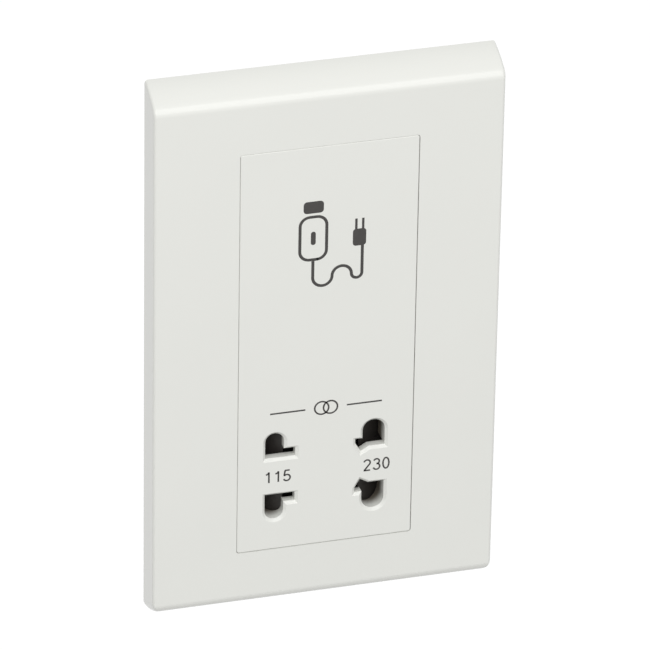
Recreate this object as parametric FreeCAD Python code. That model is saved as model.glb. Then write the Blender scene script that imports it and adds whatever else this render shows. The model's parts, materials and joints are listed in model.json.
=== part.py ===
import FreeCAD, Part
import math
import os

# Dual-voltage shaver supply socket on a two-gang wall plate. Sizes are in millimetres.
# X runs to the right, Z up. The wall surface is the plane Y = 0 and the face looks along -Y.

# Cover plate
PLATE_WIDTH = 86.0
PLATE_HEIGHT = 146.0
PLATE_DEPTH = 9.5
PLATE_WALL = 2.0
END_FALL = 4.1
END_EDGE = 2.4
SIDE_EDGE = 0.9
COLLAR_WALL = 1.3
COLLAR_DEPTH = 2.0

# Front panel, the insert in the plate
PANEL_WIDTH = 43.95
PANEL_HEIGHT = 109.95
PANEL_GAP = 0.12
PANEL_SKIN = 2.2
PANEL_SKIRT = 1.6
PANEL_CORNER = 0.6
PANEL_EDGE = 0.25
SNAP_PLAY = 0.3
SNAP_ARM = 1.2
SNAP_TOOTH = 1.3
SNAP_TALL = 1.2
SNAP_WIDTH = 6.0
SNAP_HIGH_Z = 38.0
SNAP_LOW_Z = -15.0

# Pin openings, measured from the socket's centre
SOCKET_Z = -34.7
PIN_WALL = 2.6
PIN_INNER = 5.15
SLOT_TALL = 2.35
LOW_HOLE_INNER = 10.25
LOW_HOLE_OUTER = 14.95
LOW_SLOT_END = 7.4
HIGH_HOLE_INNER = 9.5
HIGH_HOLE_OUTER = 15.1
HIGH_SLOT_END = 7.7
HIGH_SLOT_TIP_X = 9.05
HIGH_SLOT_TIP_Z = 3.95
HIGH_SLOT_SIDE = 6.3
HOLE_TALL = 6.85
OPENING_BEVEL = 0.7
BLADE_ANGLE = 30.0
GUIDE_WALL = 1.0
PAD_MARGIN = 2.6
RAIL_WALL = 1.3
RAIL_SETBACK = 0.5

# Shutters
SHUTTER_GAP = 0.35
SHUTTER_LAP = 0.35
SHUTTER_THIN = 1.4
RAKE_DEPTH = 4.1
TONGUE_PLAY = 0.65
TONGUE_HALF = 3.9
TROUGH_HALF = 2.6
TROUGH_WALL = 0.8
STOP_HALF = 0.8

# Return springs
SPRING_RADIUS = 2.0
SPRING_WIRE = 0.5
SPRING_TURNS = 4
WIRE_SIDES = 4

# Support frame
FRAME_THICK = 2.0
FRAME_SIDE_CLEARANCE = 2.0
FRAME_END_CLEARANCE = 3.4
FRAME_RIM = 1.6
FRAME_RIM_DEPTH = 3.4
FRAME_OPENING_WIDTH = 41.0
FRAME_OPENING_SETBACK = 0.45
FRAME_CORNER = 2.5
FIXING_CENTRES = 120.6
FIXING_RADIUS = 2.1
FRAME_BOSS_DEPTH = 3.2

# Snap hooks between plate and frame
HOOK_WIDTH = 8.0
HOOK_ARM = 1.2
HOOK_TOOTH = 1.4
HOOK_TOOTH_TALL = 1.2
HOOK_PLAY = 0.25
HOOK_SPACING = 88.0

# Rear housing
HOUSING_WIDTH = 62.0
HOUSING_HEIGHT = 104.5
HOUSING_CENTRE_Z = -3.65
HOUSING_DEPTH = 37.0
HOUSING_WALL = 2.0
HOUSING_CORNER = 3.0
HOUSING_BACK_EDGE = 1.2

# Casing screws
CASING_SPAN_X = 52.0
CASING_INSET = 5.7
PILLAR_RADIUS = 3.9
SCREW_RADIUS = 1.4
SCREW_PLAY = 0.25
SCREW_HEAD_RADIUS = 2.6
SCREW_HEAD_TALL = 1.8
SCREW_LENGTH = 10.0
SCREW_SEAT_DEPTH = 6.0
BOSS_RADIUS = 2.7
RECESS_CROSS = 0.7

# Contact carrier and contacts
CARRIER_BACK = 10.4
CARRIER_MARGIN = 1.9
CARRIER_FRONT_WALL = 2.1
LEAF_THICK = 0.7
LEAF_GRIP = 4.2
LEAF_TALL = 6.0
LEAF_PLAY = 0.4
BASE_THICK = 0.8
BASE_HALF = 3.9
BASE_RECESS = 1.0
TAG_WIDTH = 3.0
TAG_LENGTH = 4.6
COMMON_TAG_X = 6.0

# Isolating transformer, with E and I laminations six legs wide and five legs tall
CORE_LEG_WIDTH = 9.0
CORE_COUNT_ACROSS = 6
CORE_COUNT_TALL = 5
CORE_STACK = 18.0
CORE_BOTTOM = -10.0
CORE_CENTRE_Y = 18.0
CLAMP_THICK = 0.8
CLAMP_WIDTH = 15.0
CLAMP_TAB = 6.0
BOBBIN_WALL = 1.0
BOBBIN_PLAY = 0.2
BOBBIN_LENGTH_GAP = 0.3
WINDING_BUILD = 6.4
WINDING_CORNER = 3.0
CRADLE_RIB = 2.0
CRADLE_X = 23.0
POST_X = 19.2
POST_WIDTH = 2.0
POST_TALL = 20.0

# Thermal cut-out
CUTOUT_WIDTH = 9.0
CUTOUT_THICK = 4.6
CUTOUT_TALL = 9.0
CUTOUT_CORNER = 0.8

# Terminals
TERMINAL_PITCH = 11.0
TERMINAL_SIDE = 7.0
TERMINAL_LENGTH = 9.0
TERMINAL_WIRE_RADIUS = 1.9
TERMINAL_SCREW_RADIUS = 1.6
TERMINAL_HEAD_RADIUS = 2.5
TERMINAL_HEAD_TALL = 2.4
TERMINAL_PLAY = 0.2
BLOCK_WALL = 1.6
BLOCK_BACK_WALL = 4.0
BLOCK_PLAY = 0.2
WIRE_ENTRY_RADIUS = 2.3

# Internal leads
LEAD_RADIUS = 0.8
LEAD_SIDES = 6
LEAD_BEND_RADIUS = 2.4
LEAD_FRONT = 2.6
LEAD_DROP = 6.4

# Cutting bodies run this far past the faces they cut, and edges are picked to within this distance
CUT_PAST = 1.0
NEAR = 0.01

# Places worked out from the sizes above
FACE_Y = -PLATE_DEPTH
PANEL_BACK = FACE_Y + PANEL_SKIN
PAD_BACK = FACE_Y + PIN_WALL
FRAME_FRONT = -FRAME_THICK
TOOTH_Y = FRAME_FRONT - HOOK_TOOTH_TALL - HOOK_PLAY
TOOTH_BACK = TOOTH_Y + HOOK_TOOTH_TALL
SHUTTER_FRONT = PAD_BACK + SHUTTER_GAP
SHUTTER_EDGE = SHUTTER_FRONT + RAKE_DEPTH
SHUTTER_BACK = SHUTTER_EDGE + SHUTTER_THIN
CARRIER_FRONT = SHUTTER_BACK + SHUTTER_GAP
LOW_RADIUS = (LOW_HOLE_OUTER - LOW_HOLE_INNER) / 2
HIGH_RADIUS = (HIGH_HOLE_OUTER - HIGH_HOLE_INNER) / 2
ROUND_START = PIN_INNER + HOLE_TALL - LOW_RADIUS
HOLE_OUT = ROUND_START + max(LOW_RADIUS, HIGH_RADIUS)
SHUTTER_HALF = HOLE_OUT + SHUTTER_LAP
RAIL_IN = SHUTTER_HALF + SHUTTER_GAP
PANEL_INNER_X = PANEL_WIDTH / 2 - PANEL_SKIRT
TONGUE_END = PANEL_INNER_X - TONGUE_PLAY
RAIL_END = TONGUE_END - RAIL_SETBACK
HOLE_MIDDLE = PIN_INNER + HOLE_TALL / 2
LOW_X = -(LOW_HOLE_INNER + LOW_HOLE_OUTER) / 2
HIGH_X = (HIGH_HOLE_INNER + HIGH_HOLE_OUTER) / 2
FRAME_WIDTH = PLATE_WIDTH - 2 * (PLATE_WALL + FRAME_SIDE_CLEARANCE)
FRAME_HEIGHT = PLATE_HEIGHT - 2 * (PLATE_WALL + FRAME_END_CLEARANCE)
CORE_WIDTH = CORE_COUNT_ACROSS * CORE_LEG_WIDTH
CORE_TALL = CORE_COUNT_TALL * CORE_LEG_WIDTH
CORE_TOP = CORE_BOTTOM + CORE_TALL
CORE_FRONT = CORE_CENTRE_Y - CORE_STACK / 2
CORE_REAR = CORE_CENTRE_Y + CORE_STACK / 2
TUBE_X = CORE_LEG_WIDTH + BOBBIN_PLAY + BOBBIN_WALL
TUBE_Y = CORE_STACK / 2 + BOBBIN_PLAY + BOBBIN_WALL
COIL_LOW = CORE_BOTTOM + CORE_LEG_WIDTH + BOBBIN_LENGTH_GAP
COIL_HIGH = CORE_TOP - CORE_LEG_WIDTH - BOBBIN_LENGTH_GAP
COIL_MIDDLE = (COIL_LOW + COIL_HIGH) / 2
COIL_X = TUBE_X + WINDING_BUILD
COIL_Y = TUBE_Y + WINDING_BUILD
COIL_FRONT = CORE_CENTRE_Y - COIL_Y
PRIMARY_LOW = COIL_MIDDLE + BOBBIN_WALL / 2
SECONDARY_LOW = COIL_LOW + BOBBIN_WALL
CHAMBER = PRIMARY_LOW - BOBBIN_WALL - SECONDARY_LOW
HOUSING_BACK_INNER = HOUSING_DEPTH - HOUSING_WALL
HOUSING_TOP = HOUSING_CENTRE_Z + HOUSING_HEIGHT / 2
FRAME_OPENING_HEIGHT = HOUSING_HEIGHT - 2 * (HOUSING_WALL + FRAME_OPENING_SETBACK)
CASING_SPAN_Z = HOUSING_HEIGHT - 2 * CASING_INSET
HOUSING_TOP_INNER = HOUSING_TOP - HOUSING_WALL
BLOCK_TOP = HOUSING_TOP_INNER - BLOCK_PLAY
TERMINAL_TOP = BLOCK_TOP - BLOCK_WALL
TERMINAL_LOW = TERMINAL_TOP - TERMINAL_SIDE
TERMINAL_MIDDLE = TERMINAL_TOP - TERMINAL_SIDE / 2
BLOCK_LOW = TERMINAL_LOW - TERMINAL_PLAY - BLOCK_WALL
TERMINAL_BACK = HOUSING_DEPTH - BLOCK_BACK_WALL
TERMINAL_FRONT = TERMINAL_BACK - TERMINAL_LENGTH
BLOCK_HALF = TERMINAL_PITCH + TERMINAL_SIDE / 2 + TERMINAL_PLAY + BLOCK_WALL
TAG_END = CARRIER_BACK + TAG_LENGTH
SCREW_TIP = SCREW_SEAT_DEPTH - SCREW_LENGTH
LEAD_Y = COIL_FRONT - LEAD_FRONT


def vector(x, y, z):
    return FreeCAD.Vector(x, y, z)


def block(x0, x1, y0, y1, z0, z1):
    """Box between two corners."""
    return Part.makeBox(x1 - x0, y1 - y0, z1 - z0, vector(x0, y0, z0))


def centred(half_x, y0, y1, half_z, x=0.0, z=0.0):
    """Box centred on (x, z) between two depths."""
    return block(x - half_x, x + half_x, y0, y1, z - half_z, z + half_z)


def edges_along(solid, direction):
    """Edges of a solid that start out along a direction."""
    found = []
    for edge in solid.Edges:
        if edge.tangentAt(edge.FirstParameter).cross(direction).Length < NEAR * direction.Length:
            found.append(edge)
    return found


def edges_at(solid, depth):
    """Edges of a solid that lie at one depth."""
    return [edge for edge in solid.Edges if abs(edge.CenterOfMass.y - depth) < NEAR]


def rounded(half_x, y0, y1, half_z, radius, x=0.0, z=0.0):
    """Box between two depths with its four edges along Y rounded."""
    solid = centred(half_x, y0, y1, half_z, x, z)
    return solid.makeFillet(radius, edges_along(solid, vector(0, 1, 0)))


def rod_y(radius, x, z, y0, y1):
    """Cylinder along Y."""
    return Part.makeCylinder(radius, y1 - y0, vector(x, y0, z), vector(0, 1, 0))


def rod_z(radius, x, y, z0, z1):
    """Cylinder along Z."""
    return Part.makeCylinder(radius, z1 - z0, vector(x, y, z0), vector(0, 0, 1))


def prism_x(points, x0, x1):
    """Closed outline of (y, z) points pushed from x0 to x1."""
    outline = [vector(x0, y, z) for y, z in points]
    face = Part.Face(Part.makePolygon(outline + outline[:1]))
    return face.extrude(vector(x1 - x0, 0, 0))


def prism_y(points, y0, y1):
    """Closed outline of (x, z) points pushed from y0 to y1."""
    outline = [vector(x, y0, z) for x, z in points]
    face = Part.Face(Part.makePolygon(outline + outline[:1]))
    return face.extrude(vector(0, y1 - y0, 0))


def prism_z(points, z0, z1):
    """Closed outline of (x, y) points pushed from z0 to z1."""
    outline = [vector(x, y, z0) for x, y in points]
    face = Part.Face(Part.makePolygon(outline + outline[:1]))
    return face.extrude(vector(0, 0, z1 - z0))


def joined(solids):
    """One solid from touching or crossing solids."""
    whole = solids[0].multiFuse(solids[1:])
    return whole.removeSplitter()


def wire_section(centre, across, upward, radius, sides):
    """Closed outline of a wire or lead, with a few flat sides."""
    corners = []
    for corner in range(sides):
        turn = 2 * math.pi * corner / sides
        corners.append(centre + across * (radius * math.cos(turn)) + upward * (radius * math.sin(turn)))
    return Part.makePolygon(corners + corners[:1])


def mirrored_x(solid):
    return solid.mirror(vector(0, 0, 0), vector(1, 0, 0))


def mirrored_socket(solid):
    """Mirror image about the level through the socket's centre."""
    return solid.mirror(vector(0, 0, SOCKET_Z), vector(0, 0, 1))


def save(name, shape):
    shape.exportStep(os.path.join("parts", name + ".step"))


# Cover plate
def plate_body(inset):
    """Plate with sloped top and bottom ends, set in by a wall thickness."""
    slope = math.atan2(END_FALL, PLATE_DEPTH)
    front = FACE_Y + inset
    half = PLATE_WIDTH / 2 - inset
    back_end = PLATE_HEIGHT / 2 - inset / math.cos(slope)
    front_end = back_end + front * math.tan(slope)
    return prism_x([(0, -back_end), (front, -front_end), (front, front_end), (0, back_end)], -half, half)


def hook_places():
    """Centre of each snap hook and the way it faces, as (x, z, side_x, side_z)."""
    places = []
    for side in (-1, 1):
        for level in (-HOOK_SPACING / 2, HOOK_SPACING / 2):
            places.append((side * FRAME_WIDTH / 2, level, side, 0))
        places.append((0.0, side * FRAME_HEIGHT / 2, 0, side))
    return places


def hook_block(place, out0, out1, y0, y1, half):
    """Box at a hook, between two distances outward from the frame's edge."""
    x, z, side_x, side_z = place
    if side_x:
        ends = sorted((x + side_x * out0, x + side_x * out1))
        return block(ends[0], ends[1], y0, y1, z - half, z + half)
    ends = sorted((z + side_z * out0, z + side_z * out1))
    return block(x - half, x + half, y0, y1, ends[0], ends[1])


def make_cover_plate():
    body = plate_body(0.0)
    ends = [edge for edge in edges_at(body, FACE_Y) if abs(edge.CenterOfMass.x) < NEAR]
    body = body.makeFillet(END_EDGE, ends)
    side = PLATE_WIDTH / 2 - NEAR
    sides = [edge for edge in body.Edges if abs(edge.CenterOfMass.x) > side and edge.CenterOfMass.y < -NEAR]
    body = body.makeFillet(SIDE_EDGE, sides)
    body = body.cut(plate_body(PLATE_WALL))
    open_x = PANEL_WIDTH / 2 + PANEL_GAP
    open_z = PANEL_HEIGHT / 2 + PANEL_GAP
    skin_back = FACE_Y + PLATE_WALL
    collar = rounded(open_x + COLLAR_WALL, skin_back, skin_back + COLLAR_DEPTH, open_z + COLLAR_WALL,
                     PANEL_CORNER + COLLAR_WALL)
    pieces = [body, collar]
    mid_wall = plate_body(PLATE_WALL / 2)
    for place in hook_places():
        arm_end = HOOK_PLAY + HOOK_ARM
        arm = hook_block(place, HOOK_PLAY, arm_end, FACE_Y, FRAME_FRONT / 2, HOOK_WIDTH / 2)
        pieces.append(arm.common(mid_wall))
        pieces.append(hook_block(place, -HOOK_TOOTH, arm_end, TOOTH_Y, TOOTH_BACK, HOOK_WIDTH / 2))
    body = joined(pieces)
    window = rounded(open_x, FACE_Y - CUT_PAST, skin_back + COLLAR_DEPTH + CUT_PAST, open_z,
                     PANEL_CORNER + PANEL_GAP)
    return body.cut(window)


# Support frame
def make_support_frame():
    half_x = FRAME_WIDTH / 2
    half_z = FRAME_HEIGHT / 2
    rim_front = FRAME_FRONT - FRAME_RIM_DEPTH
    body = rounded(half_x, rim_front, 0, half_z, FRAME_CORNER)
    tray = rounded(half_x - FRAME_RIM, rim_front, FRAME_FRONT, half_z - FRAME_RIM,
                   FRAME_CORNER - FRAME_RIM / 2)
    opening = rounded(FRAME_OPENING_WIDTH / 2, rim_front, 0, FRAME_OPENING_HEIGHT / 2, FRAME_CORNER, 0,
                      HOUSING_CENTRE_Z)
    body = body.cut(tray).cut(opening)
    for side in (-1, 1):
        body = body.cut(rod_y(FIXING_RADIUS, 0, side * FIXING_CENTRES / 2, rim_front, 0))
    bosses = [rod_y(BOSS_RADIUS, x, z, FRAME_FRONT - FRAME_BOSS_DEPTH, 0) for x, z in casing_places()]
    body = joined([body] + bosses)
    for x, z in casing_places():
        body = body.cut(rod_y(SCREW_RADIUS, x, z, SCREW_TIP, 0))
    for place in hook_places():
        body = body.cut(hook_block(place, -FRAME_RIM, HOOK_PLAY, TOOTH_Y - HOOK_PLAY,
                                   TOOTH_BACK + HOOK_PLAY, HOOK_WIDTH / 2 + HOOK_PLAY))
    return body


# Pin openings
def d_hole(inner, outer, y0, y1, grow=0.0):
    """Round-ended hole above the socket's centre, between two distances to the right of the middle."""
    radius = (outer - inner) / 2
    middle = (inner + outer) / 2
    spring_line = SOCKET_Z + ROUND_START
    low = SOCKET_Z + PIN_INNER - grow
    straight = block(inner - grow, outer + grow, y0, y1, low, spring_line)
    return straight.fuse(rod_y(radius + grow, middle, spring_line, y0, y1))


def low_opening(y0, y1):
    """Upper 115 V opening on the right-hand side of the middle: round hole with a level slot."""
    slot = block(LOW_SLOT_END, LOW_HOLE_INNER + LOW_RADIUS, y0, y1,
                 SOCKET_Z + PIN_INNER, SOCKET_Z + PIN_INNER + SLOT_TALL)
    return joined([d_hole(LOW_HOLE_INNER, LOW_HOLE_OUTER, y0, y1), slot])


def high_opening(y0, y1):
    """Upper 230 V opening: round hole with a slot leaning towards the middle."""
    run = (PIN_INNER - HIGH_SLOT_TIP_Z) / math.tan(math.radians(BLADE_ANGLE))
    slot_top = PIN_INNER + SLOT_TALL
    outline = [
        (HIGH_HOLE_INNER + LOW_RADIUS, slot_top),
        (HIGH_SLOT_END, slot_top),
        (HIGH_SLOT_END, HIGH_SLOT_SIDE),
        (HIGH_SLOT_TIP_X, HIGH_SLOT_TIP_Z),
        (HIGH_SLOT_TIP_X + run, PIN_INNER),
        (HIGH_HOLE_INNER + LOW_RADIUS, PIN_INNER),
    ]
    slot = prism_y([(x, SOCKET_Z + z) for x, z in outline], y0, y1)
    return joined([d_hole(HIGH_HOLE_INNER, HIGH_HOLE_OUTER, y0, y1), slot])


def four_openings(y0, y1):
    """The four openings as tool bodies."""
    upper = [mirrored_x(low_opening(y0, y1)), high_opening(y0, y1)]
    lower = [mirrored_socket(hole) for hole in upper]
    return upper + lower


def in_openings(edge):
    """Whether an edge of the face belongs to a pin opening."""
    middle = edge.CenterOfMass
    return abs(middle.x) < HIGH_HOLE_OUTER + NEAR and abs(middle.z - SOCKET_Z) < HOLE_OUT + NEAR


def rake_wedge(inner, outer, ahead, back):
    """Space behind the raked shutter face on the right-hand side, moved ahead by a clearance."""
    slope = RAKE_DEPTH / (outer - inner)
    nose = SHUTTER_FRONT - ahead
    reach = GUIDE_WALL + SHUTTER_LAP + CUT_PAST
    far = outer + reach
    near = inner - reach
    outline = [(near, nose - slope * reach), (far, nose + slope * (far - inner)), (far, back), (near, back)]
    half = SHUTTER_HALF + reach
    return prism_z(outline, SOCKET_Z - half, SOCKET_Z + half)


# Front panel
def pin_guides():
    """Short sleeves behind the round holes, cut back to the rake of the shutters."""
    guides = []
    low_shutter = shutter_span(LOW_HOLE_INNER, LOW_HOLE_OUTER)
    high_shutter = shutter_span(HIGH_HOLE_INNER, HIGH_HOLE_OUTER)
    sides = ((LOW_HOLE_INNER, LOW_HOLE_OUTER, low_shutter, True),
             (HIGH_HOLE_INNER, HIGH_HOLE_OUTER, high_shutter, False))
    for inner, outer, span, flip in sides:
        sleeve = d_hole(inner, outer, PANEL_BACK, SHUTTER_EDGE, GUIDE_WALL)
        sleeve = sleeve.cut(rake_wedge(span[0], span[1], SHUTTER_GAP, CARRIER_FRONT))
        sleeve = sleeve.common(block(inner - GUIDE_WALL, outer + GUIDE_WALL, PANEL_BACK, SHUTTER_EDGE,
                                     SOCKET_Z + PIN_INNER, SOCKET_Z + RAIL_IN + RAIL_WALL))
        sleeve = mirrored_x(sleeve) if flip else sleeve
        guides += [sleeve, mirrored_socket(sleeve)]
    return guides


def panel_snaps():
    """Four arms that pass through the frame's opening and catch behind it."""
    arm_out = FRAME_OPENING_WIDTH / 2 - SNAP_PLAY
    arm_in = arm_out - SNAP_ARM
    tooth_out = arm_out + SNAP_TOOTH
    snaps = []
    for level in (SNAP_LOW_Z, SNAP_HIGH_Z):
        low = level - SNAP_WIDTH / 2
        high = level + SNAP_WIDTH / 2
        arm = block(arm_in, arm_out, PANEL_BACK, SNAP_PLAY + SNAP_TALL, low, high)
        tooth = block(arm_in, tooth_out, SNAP_PLAY, SNAP_PLAY + SNAP_TALL, low, high)
        snap = joined([arm, tooth])
        snaps += [snap, mirrored_x(snap)]
    return snaps


def make_front_panel():
    half_x = PANEL_WIDTH / 2
    half_z = PANEL_HEIGHT / 2
    body = rounded(half_x, FACE_Y, FRAME_FRONT, half_z, PANEL_CORNER)
    for hole in four_openings(FACE_Y - CUT_PAST, PANEL_BACK):
        body = body.cut(hole)
    body = body.makeChamfer(OPENING_BEVEL, [edge for edge in edges_at(body, FACE_Y) if in_openings(edge)])
    body = body.makeFillet(PANEL_EDGE, [edge for edge in edges_at(body, FACE_Y) if not in_openings(edge)])
    body = body.cut(centred(PANEL_INNER_X, PANEL_BACK, FRAME_FRONT, half_z - PANEL_SKIRT))
    pad_half = RAIL_IN + RAIL_WALL + PAD_MARGIN
    pieces = [body, centred(PANEL_INNER_X, PANEL_BACK, PAD_BACK, pad_half, 0, SOCKET_Z)]
    for side in (-1, 1):
        middle = SOCKET_Z + side * (RAIL_IN + RAIL_WALL / 2)
        pieces.append(centred(RAIL_END, PANEL_BACK, CARRIER_FRONT, RAIL_WALL / 2, 0, middle))
        pieces.append(centred(POST_WIDTH / 2, PANEL_BACK, CORE_FRONT, POST_TALL / 2, side * POST_X,
                              COIL_MIDDLE))
    pieces.append(centred(STOP_HALF, PANEL_BACK, CARRIER_FRONT, SHUTTER_HALF, 0, SOCKET_Z))
    pieces += pin_guides()
    body = joined(pieces + panel_snaps())
    for hole in four_openings(PANEL_BACK, SHUTTER_EDGE):
        body = body.cut(hole)
    return body


# Shutters
def shutter_span(inner, outer):
    """Nearest and farthest reach of a shutter from the middle of the socket."""
    return inner - SHUTTER_LAP, outer + SHUTTER_LAP


def make_shutter(inner, outer):
    """Right-hand shutter: a plate with a raked face and a tongue with the spring's trough."""
    near, far = shutter_span(inner, outer)
    low = SOCKET_Z - SHUTTER_HALF
    high = SOCKET_Z + SHUTTER_HALF
    raked = [(near, SHUTTER_FRONT), (far, SHUTTER_EDGE), (far, SHUTTER_BACK), (near, SHUTTER_BACK)]
    plate = prism_z(raked, low, high)
    tongue = block(near, TONGUE_END, SHUTTER_FRONT, SHUTTER_BACK,
                   SOCKET_Z - TONGUE_HALF, SOCKET_Z + TONGUE_HALF)
    trough = block(near, TONGUE_END - TROUGH_WALL, SHUTTER_FRONT, SHUTTER_BACK - TROUGH_WALL,
                   SOCKET_Z - TROUGH_HALF, SOCKET_Z + TROUGH_HALF)
    return joined([plate, tongue]).cut(trough)


def make_spring():
    """Right-hand return spring between the panel's stop rib and the end of the shutter's trough."""
    start = STOP_HALF
    end = TONGUE_END - TROUGH_WALL
    run = end - start - SPRING_WIRE
    helix = Part.makeHelix(run / SPRING_TURNS, run, SPRING_RADIUS)
    section = wire_section(vector(SPRING_RADIUS, 0, 0), vector(1, 0, 0), vector(0, 0, 1), SPRING_WIRE / 2,
                           WIRE_SIDES)
    coil = Part.Wire(helix.Edges).makePipeShell([section], True, True)
    coil.rotate(vector(0, 0, 0), vector(0, 1, 0), 90)
    axis_y = (SHUTTER_FRONT + SHUTTER_BACK - TROUGH_WALL) / 2
    coil.translate(vector(start + SPRING_WIRE / 2, axis_y, SOCKET_Z))
    return coil


# Contact carrier and contacts
def contact_places():
    """Middle of the upper contacts."""
    return LOW_X, HIGH_X


def make_contact_carrier():
    half_x = FRAME_OPENING_WIDTH / 2 - CARRIER_MARGIN
    half_z = RAIL_IN + RAIL_WALL
    body = rounded(half_x, CARRIER_FRONT, CARRIER_BACK, half_z, FRAME_CORNER - CARRIER_MARGIN, 0, SOCKET_Z)
    for hole in four_openings(CARRIER_FRONT, CARRIER_FRONT + CARRIER_FRONT_WALL):
        body = body.cut(hole)
    leaf = LEAF_GRIP / 2 + LEAF_THICK + LEAF_PLAY
    for x in contact_places():
        for side in (-1, 1):
            z = SOCKET_Z + side * HOLE_MIDDLE
            body = body.cut(centred(leaf, CARRIER_FRONT + CARRIER_FRONT_WALL, CARRIER_BACK,
                                    LEAF_TALL / 2 + LEAF_PLAY, x, z))
            body = body.cut(centred(BASE_HALF + LEAF_PLAY, CARRIER_BACK - BASE_RECESS, CARRIER_BACK,
                                    LEAF_TALL / 2 + LEAF_PLAY, x, z))
    strip = block(LOW_X, HIGH_X, CARRIER_BACK - BASE_RECESS, CARRIER_BACK,
                  SOCKET_Z - HOLE_MIDDLE - LEAF_TALL / 2 - LEAF_PLAY,
                  SOCKET_Z - HOLE_MIDDLE + LEAF_TALL / 2 + LEAF_PLAY)
    return body.cut(strip)


def contact_clip(x, z):
    """Pair of brass leaves on a base that seats in the carrier's recess."""
    half = LEAF_GRIP / 2 + LEAF_THICK
    seat = CARRIER_BACK - BASE_RECESS
    front = CARRIER_FRONT + CARRIER_FRONT_WALL + LEAF_PLAY
    base = centred(BASE_HALF, seat, seat + BASE_THICK, LEAF_TALL / 2, x, z)
    leaves = centred(half, front, seat + BASE_THICK, LEAF_TALL / 2, x, z)
    mouth = centred(LEAF_GRIP / 2, front, seat, LEAF_TALL / 2, x, z)
    return joined([base, leaves]).cut(mouth)


def contact_tag(x, z):
    """Solder tag standing out behind a contact's base."""
    seat = CARRIER_BACK - BASE_RECESS
    return centred(TAG_WIDTH / 2, seat, TAG_END, LEAF_THICK / 2, x, z)


def make_single_contact(x):
    z = SOCKET_Z + HOLE_MIDDLE
    return joined([contact_clip(x, z), contact_tag(x, z)])


def make_common_contact():
    z = SOCKET_Z - HOLE_MIDDLE
    seat = CARRIER_BACK - BASE_RECESS
    strip = block(LOW_X, HIGH_X, seat, seat + BASE_THICK, z - LEAF_TALL / 2, z + LEAF_TALL / 2)
    clips = [contact_clip(x, z) for x in contact_places()]
    return joined(clips + [strip, contact_tag(COMMON_TAG_X, z)])


# Isolating transformer
def make_core_e():
    half = CORE_WIDTH / 2
    legs_top = CORE_TOP - CORE_LEG_WIDTH
    back_top = CORE_BOTTOM + CORE_LEG_WIDTH
    window_in = CORE_LEG_WIDTH
    window_out = half - CORE_LEG_WIDTH
    body = block(-half, half, CORE_FRONT, CORE_REAR, CORE_BOTTOM, legs_top)
    for ends in ((-window_out, -window_in), (window_in, window_out)):
        body = body.cut(block(ends[0], ends[1], CORE_FRONT, CORE_REAR, back_top, legs_top))
    return body


def make_core_i():
    half = CORE_WIDTH / 2
    return block(-half, half, CORE_FRONT, CORE_REAR, CORE_TOP - CORE_LEG_WIDTH, CORE_TOP)


def make_core_clamp():
    half = CORE_WIDTH / 2
    outer = half + CLAMP_THICK
    y0 = CORE_CENTRE_Y - CLAMP_WIDTH / 2
    y1 = CORE_CENTRE_Y + CLAMP_WIDTH / 2
    strap = block(-outer, outer, y0, y1, CORE_BOTTOM - CLAMP_THICK, CORE_TOP + CLAMP_THICK)
    strap = strap.makeFillet(CLAMP_THICK, edges_along(strap, vector(0, 1, 0)))
    strap = strap.cut(block(-half, half, y0, y1, CORE_BOTTOM, CORE_TOP))
    tab_gap = half - CLAMP_TAB
    return strap.cut(block(-tab_gap, tab_gap, y0, y1, CORE_BOTTOM - CLAMP_THICK, CORE_BOTTOM))


def coil_ring(half_x, half_y, z0, z1, corner):
    """Upright rectangular prism round the middle leg with rounded upright edges."""
    solid = block(-half_x, half_x, CORE_CENTRE_Y - half_y, CORE_CENTRE_Y + half_y, z0, z1)
    return solid.makeFillet(corner, edges_along(solid, vector(0, 0, 1)))


def make_bobbin():
    flange_x = COIL_X + BOBBIN_PLAY
    flange_y = COIL_Y + BOBBIN_PLAY
    pieces = [block(-TUBE_X, TUBE_X, CORE_CENTRE_Y - TUBE_Y, CORE_CENTRE_Y + TUBE_Y, COIL_LOW, COIL_HIGH)]
    for low in (COIL_LOW, PRIMARY_LOW - BOBBIN_WALL, COIL_HIGH - BOBBIN_WALL):
        pieces.append(coil_ring(flange_x, flange_y, low, low + BOBBIN_WALL, WINDING_CORNER))
    body = joined(pieces)
    leg_x = TUBE_X - BOBBIN_WALL
    leg_y = TUBE_Y - BOBBIN_WALL
    return body.cut(block(-leg_x, leg_x, CORE_CENTRE_Y - leg_y, CORE_CENTRE_Y + leg_y, COIL_LOW, COIL_HIGH))


def make_winding(low):
    ring = coil_ring(COIL_X, COIL_Y, low, low + CHAMBER, WINDING_CORNER)
    tube = block(-TUBE_X, TUBE_X, CORE_CENTRE_Y - TUBE_Y, CORE_CENTRE_Y + TUBE_Y, low, low + CHAMBER)
    return ring.cut(tube)


def make_thermal_cutout():
    low = PRIMARY_LOW + (CHAMBER - CUTOUT_TALL) / 2
    x = -TERMINAL_PITCH
    half = CUTOUT_WIDTH / 2
    body = block(x - half, x + half, COIL_FRONT - CUTOUT_THICK, COIL_FRONT, low, low + CUTOUT_TALL)
    return body.makeFillet(CUTOUT_CORNER, edges_at(body, COIL_FRONT - CUTOUT_THICK))


# Rear housing
def casing_places():
    """Middle of each casing screw."""
    places = []
    for x in (-CASING_SPAN_X / 2, CASING_SPAN_X / 2):
        for z in (-CASING_SPAN_Z / 2, CASING_SPAN_Z / 2):
            places.append((x, HOUSING_CENTRE_Z + z))
    return places


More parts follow.
